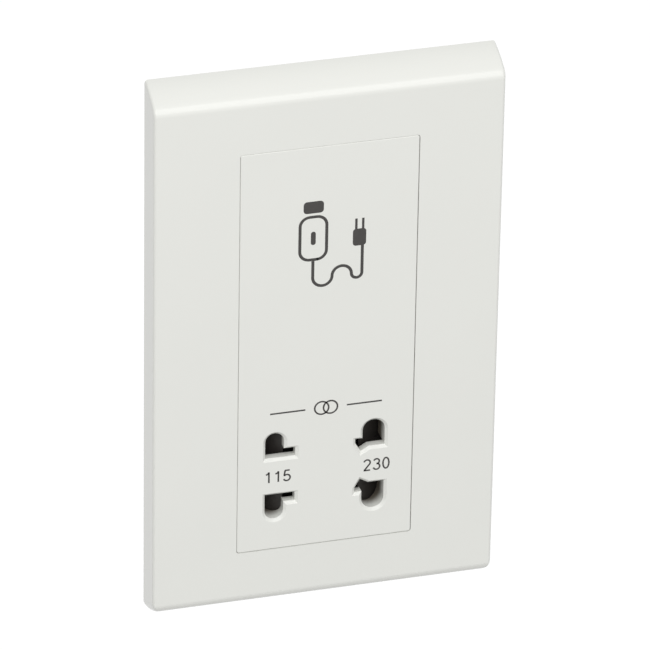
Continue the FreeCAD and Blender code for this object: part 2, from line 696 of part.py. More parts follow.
def make_rear_housing():
    half_x = HOUSING_WIDTH / 2
    half_z = HOUSING_HEIGHT / 2
    body = rounded(half_x, 0, HOUSING_DEPTH, half_z, HOUSING_CORNER, 0, HOUSING_CENTRE_Z)
    body = body.makeFillet(HOUSING_BACK_EDGE, edges_at(body, HOUSING_DEPTH))
    body = body.cut(rounded(half_x - HOUSING_WALL, 0, HOUSING_BACK_INNER, half_z - HOUSING_WALL,
                            HOUSING_CORNER - HOUSING_WALL, 0, HOUSING_CENTRE_Z))
    pieces = [body]
    for x, z in casing_places():
        pieces.append(rod_y(PILLAR_RADIUS, x, z, 0, HOUSING_BACK_INNER))
    for side in (-1, 1):
        pieces.append(block(side * CRADLE_X - CRADLE_RIB / 2, side * CRADLE_X + CRADLE_RIB / 2,
                            CORE_REAR, HOUSING_BACK_INNER, CORE_BOTTOM, CORE_TOP))
    pieces.append(centred(CRADLE_RIB / 2, CARRIER_BACK, HOUSING_BACK_INNER, HOLE_MIDDLE - LEAF_TALL, 0,
                          SOCKET_Z))
    body = joined(pieces)
    for x, z in casing_places():
        body = body.cut(rod_y(SCREW_RADIUS + SCREW_PLAY, x, z, 0, HOUSING_DEPTH))
        body = body.cut(rod_y(SCREW_HEAD_RADIUS + SCREW_PLAY, x, z, SCREW_SEAT_DEPTH, HOUSING_DEPTH))
    bay = BLOCK_HALF + BLOCK_PLAY
    body = body.cut(block(-bay, bay, HOUSING_BACK_INNER, HOUSING_DEPTH, BLOCK_LOW - BLOCK_PLAY,
                          HOUSING_TOP_INNER))
    for column in (-1, 0, 1):
        body = body.cut(rod_z(WIRE_ENTRY_RADIUS, column * TERMINAL_PITCH, terminal_wire_y(),
                              HOUSING_TOP_INNER, HOUSING_TOP))
    return body


def make_casing_screws():
    """Four pan-head screws with crossed recesses, driven from the back."""
    screws = []
    for x, z in casing_places():
        head_end = SCREW_SEAT_DEPTH + SCREW_HEAD_TALL
        shank = rod_y(SCREW_RADIUS, x, z, SCREW_TIP, SCREW_SEAT_DEPTH)
        head = rod_y(SCREW_HEAD_RADIUS, x, z, SCREW_SEAT_DEPTH, head_end)
        screw = shank.fuse(head)
        arm = SCREW_HEAD_RADIUS - RECESS_CROSS
        floor = head_end - SCREW_HEAD_TALL / 2
        screw = screw.cut(centred(arm, floor, head_end, RECESS_CROSS / 2, x, z))
        screw = screw.cut(centred(RECESS_CROSS / 2, floor, head_end, arm, x, z))
        screws.append(screw)
    return Part.makeCompound(screws)


# Terminals
def terminal_wire_y():
    """Depth of the wire hole through a terminal."""
    return TERMINAL_FRONT + TERMINAL_LENGTH / 2


def make_terminal_block():
    body = block(-BLOCK_HALF, BLOCK_HALF, TERMINAL_FRONT, HOUSING_DEPTH, BLOCK_LOW, BLOCK_TOP)
    for column in (-1, 0, 1):
        x = column * TERMINAL_PITCH
        half = TERMINAL_SIDE / 2 + TERMINAL_PLAY
        body = body.cut(block(x - half, x + half, TERMINAL_FRONT, TERMINAL_BACK, TERMINAL_LOW - TERMINAL_PLAY,
                              TERMINAL_TOP))
        body = body.cut(rod_y(TERMINAL_HEAD_RADIUS + TERMINAL_PLAY, x, TERMINAL_MIDDLE, TERMINAL_BACK,
                              HOUSING_DEPTH))
        body = body.cut(rod_z(WIRE_ENTRY_RADIUS, x, terminal_wire_y(), TERMINAL_TOP, BLOCK_TOP))
    return body


def make_terminal(column):
    """Brass body with a wire hole from above and a screw hole from behind."""
    x = column * TERMINAL_PITCH
    half = TERMINAL_SIDE / 2
    body = block(x - half, x + half, TERMINAL_FRONT, TERMINAL_BACK, TERMINAL_LOW, TERMINAL_TOP)
    body = body.cut(rod_z(TERMINAL_WIRE_RADIUS, x, terminal_wire_y(), TERMINAL_MIDDLE - TERMINAL_WIRE_RADIUS,
                          TERMINAL_TOP))
    return body.cut(rod_y(TERMINAL_SCREW_RADIUS, x, TERMINAL_MIDDLE, terminal_wire_y(), TERMINAL_BACK))


def make_terminal_screws():
    """Three slotted clamping screws, seated on the terminals."""
    screws = []
    for column in (-1, 0, 1):
        x = column * TERMINAL_PITCH
        head_end = TERMINAL_BACK + TERMINAL_HEAD_TALL
        shank = rod_y(TERMINAL_SCREW_RADIUS, x, TERMINAL_MIDDLE, terminal_wire_y() + TERMINAL_WIRE_RADIUS,
                      TERMINAL_BACK)
        head = rod_y(TERMINAL_HEAD_RADIUS, x, TERMINAL_MIDDLE, TERMINAL_BACK, head_end)
        slot = centred(TERMINAL_HEAD_RADIUS, head_end - TERMINAL_HEAD_TALL / 2, head_end, RECESS_CROSS / 2, x,
                       TERMINAL_MIDDLE)
        screws.append(shank.fuse(head).cut(slot))
    return Part.makeCompound(screws)


# Internal leads
def lead_section(centre, direction):
    """Flat-sided section of a lead that runs in an upright plane across the wall."""
    across = vector(1, 0, 0)
    return Part.Face(wire_section(centre, across, direction.cross(across), LEAD_RADIUS, LEAD_SIDES))


def make_lead(x, route):
    """Insulated lead in an upright plane, through (y, z) points with rounded right-angled corners."""
    points = [vector(x, y, z) for y, z in route]
    pieces = []
    here = points[0]
    for before, corner, after in zip(points, points[1:], points[2:]):
        back = (before - corner).normalize()
        ahead = (after - corner).normalize()
        start = corner + back * LEAD_BEND_RADIUS
        middle = start + ahead * LEAD_BEND_RADIUS
        pieces.append(lead_section(here, back).extrude(start - here))
        pieces.append(lead_section(start, back).revolve(middle, ahead.cross(back), 90))
        here = corner + ahead * LEAD_BEND_RADIUS
    last = points[-1]
    onward = last - here
    pieces.append(lead_section(here, onward.normalize()).extrude(last - here))
    return joined(pieces)


def secondary_route(tag_z):
    """From the lower winding down in front of the core and back over the carrier to a solder tag."""
    start_z = SECONDARY_LOW + CHAMBER / 2
    drop_z = CORE_BOTTOM - LEAD_DROP
    rear_y = TAG_END - TAG_WIDTH / 2
    return [(COIL_FRONT, start_z), (LEAD_Y, start_z), (LEAD_Y, drop_z), (rear_y, drop_z),
            (rear_y, tag_z + LEAF_THICK / 2)]


def make_live_lead():
    cutout_top = PRIMARY_LOW + (CHAMBER + CUTOUT_TALL) / 2
    cutout_y = COIL_FRONT - CUTOUT_THICK / 2
    return make_lead(-TERMINAL_PITCH, [(TERMINAL_FRONT, TERMINAL_MIDDLE), (cutout_y, TERMINAL_MIDDLE),
                                       (cutout_y, cutout_top)])


def make_neutral_lead():
    level = PRIMARY_LOW + CHAMBER / 2
    return make_lead(0.0, [(TERMINAL_FRONT, TERMINAL_MIDDLE), (LEAD_Y, TERMINAL_MIDDLE), (LEAD_Y, level),
                           (COIL_FRONT, level)])


os.makedirs("parts", exist_ok=True)
save("cover_plate", make_cover_plate())
save("support_frame", make_support_frame())
save("front_panel", make_front_panel())
save("rear_housing", make_rear_housing())
save("casing_screws", make_casing_screws())
save("shutter_115v", mirrored_x(make_shutter(LOW_HOLE_INNER, LOW_HOLE_OUTER)))
save("shutter_230v", make_shutter(HIGH_HOLE_INNER, HIGH_HOLE_OUTER))
save("shutter_spring_115v", mirrored_x(make_spring()))
save("shutter_spring_230v", make_spring())
save("contact_carrier", make_contact_carrier())
save("contact_115v", make_single_contact(LOW_X))
save("contact_230v", make_single_contact(HIGH_X))
save("contact_common", make_common_contact())
save("core_e_stack", make_core_e())
save("core_i_stack", make_core_i())
save("core_clamp", make_core_clamp())
save("coil_bobbin", make_bobbin())
save("primary_winding", make_winding(PRIMARY_LOW))
save("secondary_winding", make_winding(SECONDARY_LOW))
save("thermal_cutout", make_thermal_cutout())
save("terminal_block", make_terminal_block())
for column, name in enumerate(("terminal_live", "terminal_neutral", "terminal_earth")):
    save(name, make_terminal(column - 1))
save("terminal_screws", make_terminal_screws())
save("lead_live", make_live_lead())
save("lead_neutral", make_neutral_lead())
save("lead_115v", make_lead(LOW_X, secondary_route(SOCKET_Z + HOLE_MIDDLE)))
save("lead_230v", make_lead(HIGH_X, secondary_route(SOCKET_Z + HOLE_MIDDLE)))
save("lead_common", make_lead(COMMON_TAG_X, secondary_route(SOCKET_Z - HOLE_MIDDLE)))
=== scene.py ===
import json
import math
import bmesh
import bpy
from mathutils import Matrix, Vector


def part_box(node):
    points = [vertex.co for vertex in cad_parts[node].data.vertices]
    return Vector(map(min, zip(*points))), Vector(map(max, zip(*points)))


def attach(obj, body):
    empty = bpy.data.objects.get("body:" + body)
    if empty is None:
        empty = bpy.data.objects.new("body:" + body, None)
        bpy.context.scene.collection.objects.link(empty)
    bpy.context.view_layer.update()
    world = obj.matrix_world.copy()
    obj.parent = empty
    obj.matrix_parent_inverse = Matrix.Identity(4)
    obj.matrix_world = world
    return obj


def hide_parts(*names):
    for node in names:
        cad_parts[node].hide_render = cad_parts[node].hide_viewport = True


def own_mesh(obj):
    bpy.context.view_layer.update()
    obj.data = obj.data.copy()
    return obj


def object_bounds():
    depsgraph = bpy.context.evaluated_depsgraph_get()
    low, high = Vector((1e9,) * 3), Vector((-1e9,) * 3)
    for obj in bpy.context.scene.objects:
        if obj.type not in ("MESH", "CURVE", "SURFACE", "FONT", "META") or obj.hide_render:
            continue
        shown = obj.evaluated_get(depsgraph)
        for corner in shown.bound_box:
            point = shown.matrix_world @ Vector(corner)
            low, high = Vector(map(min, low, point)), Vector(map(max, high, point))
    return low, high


# Dual-voltage shaver socket on a white wall plate, seen from above and from its left.
# Everything is in metres in the part's own frame: X to the right, Z up, the face looks along -Y.

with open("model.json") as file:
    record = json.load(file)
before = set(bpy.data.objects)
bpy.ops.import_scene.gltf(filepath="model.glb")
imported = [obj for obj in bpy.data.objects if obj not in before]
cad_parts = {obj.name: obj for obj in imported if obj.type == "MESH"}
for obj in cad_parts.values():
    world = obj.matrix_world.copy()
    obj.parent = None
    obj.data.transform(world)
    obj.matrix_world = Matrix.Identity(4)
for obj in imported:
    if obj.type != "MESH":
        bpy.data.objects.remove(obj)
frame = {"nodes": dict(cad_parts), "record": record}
cad_low, cad_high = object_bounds()

MM = 0.001
BODY = "unit"

# Camera, fitted to the photograph's 650 by 650 pixels
CAMERA_AZIMUTH = 15.923
CAMERA_ELEVATION = 29.736
CAMERA_ROLL = 0.991
CAMERA_DISTANCE = 1.618515
CAMERA_TARGET = (2.075 * MM, 0.0, 0.564 * MM)
FOCAL_PIXELS = 6700.0
IMAGE_PIXELS = 650.0
SENSOR_MM = 36.0

# Stage and light
FLOOR_DROP = 0.25
FLOOR_SIZE = 6.0
FLOOR_PALE = 0.48
FLOOR_SEEN = 0.26
FLOOR_GLOW = 0.84
AMBIENT = 0.57
KEY_AZIMUTH = -10.0
KEY_ELEVATION = 38.0
KEY_DISTANCE = 1.4
KEY_WIDTH = 1.96
KEY_HEIGHT = 1.25
KEY_RADIANCE = 1.95

# Printed marks, in millimetres on the panel's face
INK_THICK = 0.02
STROKE = 0.75
FINE_STROKE = 0.42
ARC_STEPS = 24
CORNER_STEPS = 8

# Numbers beside the outlets, with the digits' pitch and width as shares of their height
NUMBER_TALL = 3.4
NUMBER_STROKE = 0.42
NUMBER_LEVEL = -34.6
NUMBER_PLACES = (("115", -12.0), ("230", 13.0))
DIGIT_PITCH = 0.8
DIGIT_WIDE = 0.56

# Sign of two linked rings between two lines
SIGN_LEVEL = -16.8
SIGN_RING = 1.75
SIGN_OVERLAP = 1.3
SIGN_LINE_IN = 5.2
SIGN_LINE_OUT = 14.0

# Shaver sign: each rounded box has its left, right, low and high side and its corner radius
SHAVER_CASE = (-7.2, -0.6, 24.6, 36.2, 2.4)
SHAVER_HEAD = (-6.4, -1.4, 37.2, 40.4, 0.9)
SHAVER_SWITCH = (-4.5, -3.3, 28.6, 32.2, 0.59)
PLUG_CASE = (5.9, 9.2, 27.0, 31.6, 0.8)

# Its cord: the ends, then the bends with their centre, radius, last angle and steps
CORD_START = (-3.9, 24.2)
CORD_END = (8.3, 27.0)
CORD_LEVEL = 19.6
CORD_BENDS = ((-1.5, 2.4, 360, 24), (3.3, 2.4, 0, 24), (7.0, 1.3, 360, 12))

# Its plug's pins
PIN_MIDDLE = 7.55
PIN_ASIDE = 0.85
PIN_FOOT = 31.6
PIN_TIP = 34.4
PIN_STROKE = 0.6

# Cover plate's ends, in millimetres: the solid's own slope, end edge and side edge
END_FALL = 4.1
END_EDGE = 2.4
SIDE_EDGE = 0.9

# How the ends are dressed, in millimetres: crown, lower corners, shorter lower end, and how far they reach
END_CROWN = 0.6
LOW_CORNER = 1.9
LOW_TRIM = 0.3
CORNER_REACH = 10.0
SKIN_FALL = 1.8
SKIN_PLAY = 0.05
MERGE = 0.001
CROWN_STEPS = 10

# Shading of the plate: faces within this angle are smoothed together, and flat ones keep their own normal
SMOOTH_ANGLE = 40.0
FLAT_SHARE = 0.9999

# Return springs, with their wire in millimetres
SPRING_WIRE = 0.5
OPEN_TURNS = 4
END_TURNS = 1
TURN_STEPS = 32
WIRE_STEPS = 12

# Painted shade in the panel's pin guides: the depths along Y between which the colour darkens, and the
# middle and reach of the box about them in X and Z, in millimetres; then the brown of the painted shade
SHADE_START_DEPTH = -8.3
SHADE_END_DEPTH = -4.6
SHADE_BOX = (("X", 0.0, 19.0), ("Z", -35.5, 16.5))
PAINTED_SHADE_BROWN = (0.15, 0.132, 0.106)

# Plastics in general: flow marks and gloss marks per metre, swing of the gloss, index of refraction
FLOW_SCALE = 45.0
GLOSS_SCALE = 180.0
GLOSS_SWING = 0.15
PLASTIC_IOR = 1.42

# Each plastic: colour, roughness, grain per metre, grain's depth in millimetres, swing of the colour, and
# the colour of painted shade deep inside if it has any
WHITE = (0.80, 0.805, 0.765)
PLASTICS = {
    "plate_white": (WHITE, 0.13, 700.0, 0.004, 0.012),
    # the panel's last value paints shade deep inside its pin guides
    "panel_white": (WHITE, 0.16, 750.0, 0.004, 0.012, PAINTED_SHADE_BROWN),
    "frame_grey": ((0.56, 0.57, 0.57), 0.5, 1400.0, 0.03, 0.03),
    "housing_white": ((0.76, 0.76, 0.73), 0.45, 1300.0, 0.03, 0.03),
    "shutter_black": ((0.027, 0.024, 0.022), 0.4, 1500.0, 0.02, 0.2),
    "carrier_black": ((0.03, 0.028, 0.027), 0.5, 1200.0, 0.03, 0.2),
    "bobbin_nylon": ((0.70, 0.68, 0.60), 0.5, 1200.0, 0.03, 0.03),
    "cutout_black": ((0.04, 0.04, 0.045), 0.42, 1400.0, 0.03, 0.15),
    "lead_brown": ((0.20, 0.09, 0.045), 0.38, 1600.0, 0.02, 0.1),
    "lead_blue": ((0.05, 0.15, 0.42), 0.38, 1600.0, 0.02, 0.1),
    "lead_grey": ((0.30, 0.30, 0.30), 0.38, 1600.0, 0.02, 0.1),
}

# Plain metals in general: darkest and lightest tone, least and most roughness, and the marks' detail and
# depth in millimetres
METAL_TONES = (0.82, 1.1)
METAL_GLOSS = (0.75, 1.35)
METAL_DETAIL = 4.0
METAL_DEPTH = 0.01

# Each plain metal: colour, roughness, marks per metre along X, Y and Z
METALS = {
    "contact_brass": ((0.72, 0.52, 0.20), 0.28, (1200.0, 1200.0, 90.0)),
    "plated_steel": ((0.64, 0.65, 0.66), 0.3, (900.0, 60.0, 60.0)),
}

# Each ridged metal: axis, pitch in millimetres and wobble of the ridges, dark and light colour, gloss marks
# per metre, least and most roughness, the ridges' depth in millimetres, and how metallic it is
RIDGED_METALS = {
    "core_steel": ("Y", 0.5, 0.0, (0.10, 0.095, 0.09), (0.33, 0.32, 0.31),
                   250.0, (0.38, 0.6), 0.06, 0.85),
    "winding_copper": ("Z", 0.45, 0.15, (0.20, 0.07, 0.025), (0.62, 0.25, 0.09),
                       300.0, (0.22, 0.38), 0.12, 0.9),
}

# Printing ink: darkest and lightest colour, least and most roughness, and the marks of both per metre
INK_TONES = ((0.034, 0.031, 0.029), (0.05, 0.047, 0.044))
INK_GLOSS = (0.42, 0.58)
INK_TONE_SCALE = 900.0
INK_GLOSS_SCALE = 1500.0

# Noise's usual detail, that of fine grain, and the radians per metre of a wave texture at scale 1
NOISE_DETAIL = 3.0
GRAIN_DETAIL = 2.0
WAVE_RADIANS = 20.0


def placed(name, data):
    """New object in the scene."""
    thing = bpy.data.objects.new(name, data)
    bpy.context.scene.collection.objects.link(thing)
    return thing


def maths(nodes, links, operation, first, second):
    """Output of a maths node that is fed by two other outputs."""
    node = nodes.new("ShaderNodeMath")
    node.operation = operation
    links.new(first, node.inputs[0])
    links.new(second, node.inputs[1])
    return node.outputs["Value"]


# Materials
class Tree:
    """Short ways to add nodes to one material."""

    def __init__(self, name):
        self.material = bpy.data.materials.new(name)
        self.material.use_nodes = True
        self.nodes = self.material.node_tree.nodes
        self.links = self.material.node_tree.links
        self.shader = self.nodes["Principled BSDF"]
        self.place = self.nodes.new("ShaderNodeTexCoord").outputs["Object"]

    def link(self, source, target):
        self.links.new(source, target)

    def stretched(self, scale):
        """Object coordinates times a scale along each axis."""
        node = self.nodes.new("ShaderNodeMapping")
        node.inputs["Scale"].default_value = scale
        self.link(self.place, node.inputs["Vector"])
        return node.outputs["Vector"]

    def noise(self, scale, detail=NOISE_DETAIL, vector=None):
        """Soft random marks, so many per unit of the coordinates."""
        node = self.nodes.new("ShaderNodeTexNoise")
        node.inputs["Scale"].default_value = scale
        node.inputs["Detail"].default_value = detail
        self.link(vector or self.place, node.inputs["Vector"])
        return node.outputs["Fac"]

    def bands(self, pitch, axis, distortion):
        """Rounded ridges across an axis, one each pitch."""
        node = self.nodes.new("ShaderNodeTexWave")
        node.bands_direction = axis
        node.inputs["Scale"].default_value = 2 * math.pi / (WAVE_RADIANS * pitch)
        node.inputs["Distortion"].default_value = distortion
        self.link(self.place, node.inputs["Vector"])
        return node.outputs["Fac"]

    def towards(self, factor, colour):
        """Mix towards a colour that becomes the base colour, and the socket for what it starts from."""
        node = self.nodes.new("ShaderNodeMix")
        node.data_type = "RGBA"
        node.inputs["B"].default_value = (*colour, 1)
        self.link(factor, node.inputs["Factor"])
        self.link(node.outputs["Result"], self.shader.inputs["Base Color"])
        return node.inputs["A"]

    def colours(self, factor, dark, light):
        """Base colour that runs between two colours."""
        self.towards(factor, light).default_value = (*dark, 1)

    def paint_depth_shade(self, shade_colour):
        """Paints shade into the base colour: it runs into a darker one along Y, deep inside the pin guides'
        box.
        """
        split = self.nodes.new("ShaderNodeSeparateXYZ")
        self.link(self.place, split.inputs["Vector"])
        ramp = self.nodes.new("ShaderNodeMapRange")
        ramp.interpolation_type = "SMOOTHSTEP"
        ramp.inputs["From Min"].default_value = SHADE_START_DEPTH * MM
        ramp.inputs["From Max"].default_value = SHADE_END_DEPTH * MM
        self.link(split.outputs["Y"], ramp.inputs["Value"])
        share = ramp.outputs["Result"]
        for axis, middle, reach in SHADE_BOX:
            inside = self.nodes.new("ShaderNodeMath")
            inside.operation = "COMPARE"
            self.link(split.outputs[axis], inside.inputs[0])
            inside.inputs[1].default_value = middle * MM
            inside.inputs[2].default_value = reach * MM
            share = maths(self.nodes, self.links, "MULTIPLY", share, inside.outputs["Value"])
        unshaded_colour = self.shader.inputs["Base Color"].links[0].from_socket
        # painted shade: the unshaded colour is mixed towards the dark one
        self.link(unshaded_colour, self.towards(share, shade_colour))

    def roughness(self, factor, low, high):
        """Roughness that runs between two values."""
        node = self.nodes.new("ShaderNodeMapRange")
        node.inputs["To Min"].default_value = low
        node.inputs["To Max"].default_value = high
        self.link(factor, node.inputs["Value"])
        self.link(node.outputs["Result"], self.shader.inputs["Roughness"])

    def bump(self, height, depth):
        """Fine relief of a depth in metres."""
        node = self.nodes.new("ShaderNodeBump")
        node.inputs["Strength"].default_value = 1.0
        node.inputs["Distance"].default_value = depth
        self.link(height, node.inputs["Height"])
        self.link(node.outputs["Normal"], self.shader.inputs["Normal"])


def scaled(colour, factor):
    """A colour made darker or lighter."""
    return tuple(channel * factor for channel in colour)


def moulded(name, colour, rough, grain, depth, vary, shade_colour=None):
    """Moulded plastic: slight flow marks, fine grain and, if given, painted shade that darkens the colour
    deep inside.
    """
    tree = Tree(name)
    tree.colours(tree.noise(FLOW_SCALE), scaled(colour, 1 - vary), scaled(colour, 1 + vary))
    # painted shade deep in the pin guides, where a shade colour is given
    if shade_colour:
        tree.paint_depth_shade(shade_colour)
    tree.roughness(tree.noise(GLOSS_SCALE), rough * (1 - GLOSS_SWING), rough * (1 + GLOSS_SWING))
    tree.bump(tree.noise(grain, GRAIN_DETAIL), depth * MM)
    tree.shader.inputs["IOR"].default_value = PLASTIC_IOR
    return tree.material


def metal(name, colour, rough, stretch):
    """Metal with fine marks drawn out along one axis."""
    tree = Tree(name)
    marks = tree.noise(1.0, METAL_DETAIL, tree.stretched(stretch))
    tree.colours(marks, *(scaled(colour, tone) for tone in METAL_TONES))
    tree.roughness(marks, *(rough * gloss for gloss in METAL_GLOSS))
    tree.bump(marks, METAL_DEPTH * MM)
    tree.shader.inputs["Metallic"].default_value = 1.0
    return tree.material


def ridged(name, axis, pitch, wobble, dark, light, gloss_scale, gloss, depth, metallic):
    """Metal in fine ridges: a core's stacked sheets, or turns of enamelled wire side by side."""
    tree = Tree(name)
    ridges = tree.bands(pitch * MM, axis, wobble)
    tree.colours(ridges, dark, light)
    tree.roughness(tree.noise(gloss_scale), *gloss)
    tree.bump(ridges, depth * MM)
    tree.shader.inputs["Metallic"].default_value = metallic
    return tree.material


def ink():
    """Dark printing ink, slightly uneven."""
    tree = Tree("print_ink")
    tree.colours(tree.noise(INK_TONE_SCALE), *INK_TONES)
    tree.roughness(tree.noise(INK_GLOSS_SCALE), *INK_GLOSS)
    return tree.material


MATERIALS = {}
for make, table in ((moulded, PLASTICS), (metal, METALS), (ridged, RIDGED_METALS)):
    MATERIALS.update({name: make(name, *facts) for name, facts in table.items()})
INK = ink()

for subpart in frame["record"]["subparts"]:
    surface = frame["nodes"][subpart["node"]].data
    surface.materials.clear()
    surface.materials.append(MATERIALS[subpart["material_slot"]])


# Cover plate
plate_low, plate_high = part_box("cover_plate")
PLATE_DEPTH = -plate_low.y / MM
HALF_WIDTH = plate_high.x / MM
HALF_HEIGHT = plate_high.z / MM
END_LENGTH = math.hypot(END_FALL, PLATE_DEPTH)
EDGE_DEPTH = PLATE_DEPTH - END_EDGE
EDGE_LEVEL = HALF_HEIGHT - (END_FALL * EDGE_DEPTH + END_LENGTH * END_EDGE) / PLATE_DEPTH
EDGE_START = EDGE_DEPTH + END_EDGE * END_FALL / END_LENGTH


def end_profile(depth):
    """Height of the solid's end at a depth in front of the wall, and the sine of its lean there."""
    if depth <= EDGE_START:
        return HALF_HEIGHT - END_FALL * depth / PLATE_DEPTH, PLATE_DEPTH / END_LENGTH
    across = min((depth - EDGE_DEPTH) / END_EDGE, 1.0)
    rise = math.sqrt(1 - across * across)
    return EDGE_LEVEL + END_EDGE * rise, rise


def spread(distance, narrow, wide):
    """Distance from a corner once its edge is widened, back to the same value at the reach."""
    if distance < narrow:
        return distance * wide / narrow
    if distance < CORNER_REACH:
        return wide + (distance - narrow) * (CORNER_REACH - wide) / (CORNER_REACH - narrow)
    return distance


def dressed_end(x, depth, height, low_end):
    """New place of a point near an end: rounder at the lower corners, crowned at both ends."""
    level, lean = end_profile(depth)
    side = HALF_WIDTH - x
    fall = level - height
    on_edge = min(side, fall * lean) < SIDE_EDGE + SKIN_PLAY
    if low_end and on_edge and depth < PLATE_DEPTH - SKIN_PLAY:
        share = min((PLATE_DEPTH - depth) / (PLATE_DEPTH - EDGE_START), 1.0)
        wide = SIDE_EDGE + (LOW_CORNER - SIDE_EDGE) * share
        x = HALF_WIDTH - spread(side, SIDE_EDGE, wide)
        height = level - spread(fall * lean, SIDE_EDGE, wide) / lean
    if fall < SKIN_FALL:
        part = depth / PLATE_DEPTH
        height += 4 * END_CROWN * part * (1 - part)
        if low_end:
            height -= LOW_TRIM * part
    return x, height


def corner_normals(mesh):
    """Normal at each face corner: that of a flat face there, or a mean over the faces that turn gently."""
    around = [[] for _ in mesh.vertices]
    for polygon in mesh.polygons:
        facts = (polygon.normal.copy(), polygon.area)
        for index in polygon.vertices:
            around[index].append(facts)
    gentle = math.cos(math.radians(SMOOTH_ANGLE))
    normals = []
    for polygon in mesh.polygons:
        own = polygon.normal.copy()
        for index in polygon.vertices:
            near = [facts for facts in around[index] if facts[0].dot(own) > gentle]
            flat = [normal for normal, area in near if max(map(abs, normal)) > FLAT_SHARE]
            total = flat[0] if flat else sum((normal * area for normal, area in near), Vector())
            normals.append(total.normalized())
    return normals


def dressed_plate():
    """The plate's solid with crowned ends and rounder lower corners."""
    shape = bmesh.new()
    shape.from_mesh(frame["nodes"]["cover_plate"].data)
    bmesh.ops.remove_doubles(shape, verts=shape.verts, dist=MERGE * MM)
    for step in range(1, CROWN_STEPS):
        level = plate_low.y * step / CROWN_STEPS
        everything = shape.verts[:] + shape.edges[:] + shape.faces[:]
        bmesh.ops.bisect_plane(shape, geom=everything, plane_co=(0, level, 0), plane_no=(0, 1, 0))
    for vertex in shape.verts:
        x, depth, height = abs(vertex.co.x) / MM, -vertex.co.y / MM, abs(vertex.co.z) / MM
        x, height = dressed_end(x, depth, height, vertex.co.z < 0)
        vertex.co.x = math.copysign(x * MM, vertex.co.x)
        vertex.co.z = math.copysign(height * MM, vertex.co.z)
    bmesh.ops.triangulate(shape, faces=shape.faces)
    mesh = bpy.data.meshes.new("plate_shell")
    shape.to_mesh(mesh)
    shape.free()
    mesh.shade_smooth()
    mesh.normals_split_custom_set(corner_normals(mesh))
    mesh.materials.append(MATERIALS["plate_white"])
    plate = placed("plate_shell", mesh)
    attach(plate, BODY)
    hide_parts("cover_plate")


dressed_plate()


# Return springs
def coil_line(start, end, radius):
    """Points of a coil's wire along X and round the X axis, with the end turns wound close."""
    close = END_TURNS * SPRING_WIRE * MM
    pitch = (end - start - 2 * close) / OPEN_TURNS
    points = []
    for step in range((OPEN_TURNS + 2 * END_TURNS) * TURN_STEPS + 1):
        turn = step / TURN_STEPS
        first = min(turn, END_TURNS)
        middle = min(max(turn - END_TURNS, 0), OPEN_TURNS)
        last = max(turn - END_TURNS - OPEN_TURNS, 0)
        angle = 2 * math.pi * turn
        x = start + (first + last) * SPRING_WIRE * MM + middle * pitch
        points.append(Vector((x, radius * math.cos(angle), radius * math.sin(angle))))
    return points


def wire_mesh(name, line, axis):
    """Round wire along a coil's line, with flat ends."""
    vertices = []
    count = len(line)
    for index, point in enumerate(line):
        along = (line[min(index + 1, count - 1)] - line[max(index - 1, 0)]).normalized()
        out = Vector((0, point.y, point.z)).normalized()
        across = along.cross(out)
        for side in range(WIRE_STEPS):
            angle = 2 * math.pi * side / WIRE_STEPS
            offset = (out * math.cos(angle) + across * math.sin(angle)) * SPRING_WIRE / 2 * MM
            vertices.append(axis + point + offset)
    faces = [tuple(reversed(range(WIRE_STEPS)))]
    for ring in range(count - 1):
        base = ring * WIRE_STEPS
        for side in range(WIRE_STEPS):
            after = (side + 1) % WIRE_STEPS
            faces.append((base + side, base + after, base + WIRE_STEPS + after, base + WIRE_STEPS + side))
    faces.append(tuple(range((count - 1) * WIRE_STEPS, count * WIRE_STEPS)))
    mesh = bpy.data.meshes.new(name)
    mesh.from_pydata(vertices, [], faces)
    for polygon in mesh.polygons:
        polygon.use_smooth = len(polygon.vertices) == 4
    return mesh


def return_spring(spring):
    """Round-wire coil that stands for a spring node."""
    low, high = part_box(spring["node"])
    half_wire = SPRING_WIRE / 2 * MM
    axis = Vector((0, (low.y + high.y) / 2, (low.z + high.z) / 2))
    line = coil_line(low.x + half_wire, high.x - half_wire, (high.z - low.z) / 2 - half_wire)
    name = spring["node"].replace("shutter", "round")
    coil = placed(name, wire_mesh(name, line, axis))
    coil.data.materials.append(MATERIALS["plated_steel"])
    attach(coil, BODY)
    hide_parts(spring["node"])
    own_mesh(coil)


for shutter_joint in frame["record"]["behaviour"]["joints"]:
    for closing_spring in shutter_joint["deforming_nodes"]:
        return_spring(closing_spring)


# Printed marks
panel_low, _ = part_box("front_panel")
FACE_Y = panel_low.y


def flat_mark(name, vertices, faces):
    """Film of ink on the panel's face from (x, z) points in millimetres."""
    mesh = bpy.data.meshes.new(name)
    mesh.from_pydata([(x * MM, FACE_Y, z * MM) for x, z in vertices], [], faces)
    mark = placed(name, mesh)
    film = mark.modifiers.new("film", "SOLIDIFY")
    film.thickness = INK_THICK * MM
    film.offset = 1.0
    mark.data.materials.append(INK)
    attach(mark, BODY)


def arc(x, z, radius, start, end, steps=ARC_STEPS):
    """Points along an arc, with angles in degrees from +X towards +Z."""
    points = []
    for step in range(steps + 1):
        angle = math.radians(start + (end - start) * step / steps)
        points.append((x + radius * math.cos(angle), z + radius * math.sin(angle)))
    return points


def stroke(name, points, width):
    """Line of even width through (x, z) points, with square ends."""
    vertices = []
    count = len(points)
    for index, point in enumerate(points):
        before = points[max(index - 1, 0)]
        after = points[min(index + 1, count - 1)]
        run = Vector((after[0] - before[0], after[1] - before[1])).normalized()
        side = Vector((-run.y, run.x)) * width / 2
        vertices += [(point[0] + side.x, point[1] + side.y), (point[0] - side.x, point[1] - side.y)]
    faces = [(2 * i, 2 * i + 1, 2 * i + 3, 2 * i + 2) for i in range(count - 1)]
    flat_mark(name, vertices, faces)


def filled(name, points):
    """Solid patch inside a closed outline that runs anticlockwise as it is seen."""
    flat_mark(name, points, [tuple(range(len(points)))])


